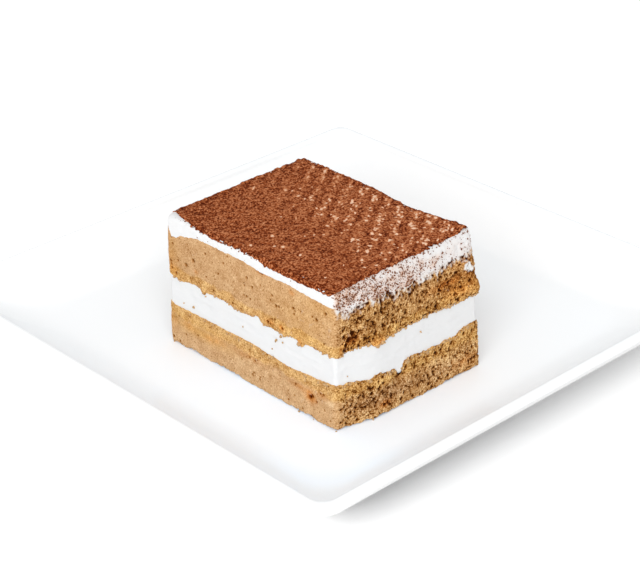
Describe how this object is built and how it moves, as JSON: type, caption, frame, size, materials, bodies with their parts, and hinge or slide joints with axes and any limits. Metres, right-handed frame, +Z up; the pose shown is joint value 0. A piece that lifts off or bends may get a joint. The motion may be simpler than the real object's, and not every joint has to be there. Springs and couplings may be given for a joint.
{
  "type": "tiramisu portion on a plate",
  "caption": "Rectangular tiramisu portion of sponge and white cream layers under cocoa, on a white square plate with a low turned-up rim.",
  "frame": {"origin": "centre of the plate's underside, at the level of its foot", "axes": "+Z up; the portion's smooth cut face looks along -Y and its coarse face along +X, the plate's sides run along X and Y"},
  "size_m": [0.2, 0.2, 0.0586],
  "materials": {
    "porcelain": "white glazed porcelain, smooth and glossy",
    "sponge": "coffee-soaked sponge cake, matte open crumb, golden tan",
    "cream": "white whipped cream, smooth, soft satin",
    "cocoa": "reddish-brown cocoa powder, dry and fully matte"
  },
  "bodies": {
    "root": {"plate": "porcelain", "sponge_lower": "sponge", "cream_middle": "cream", "sponge_upper": "sponge", "cream_top": "cream", "cocoa_dusting": "cocoa"}
  },
  "joints": []
}
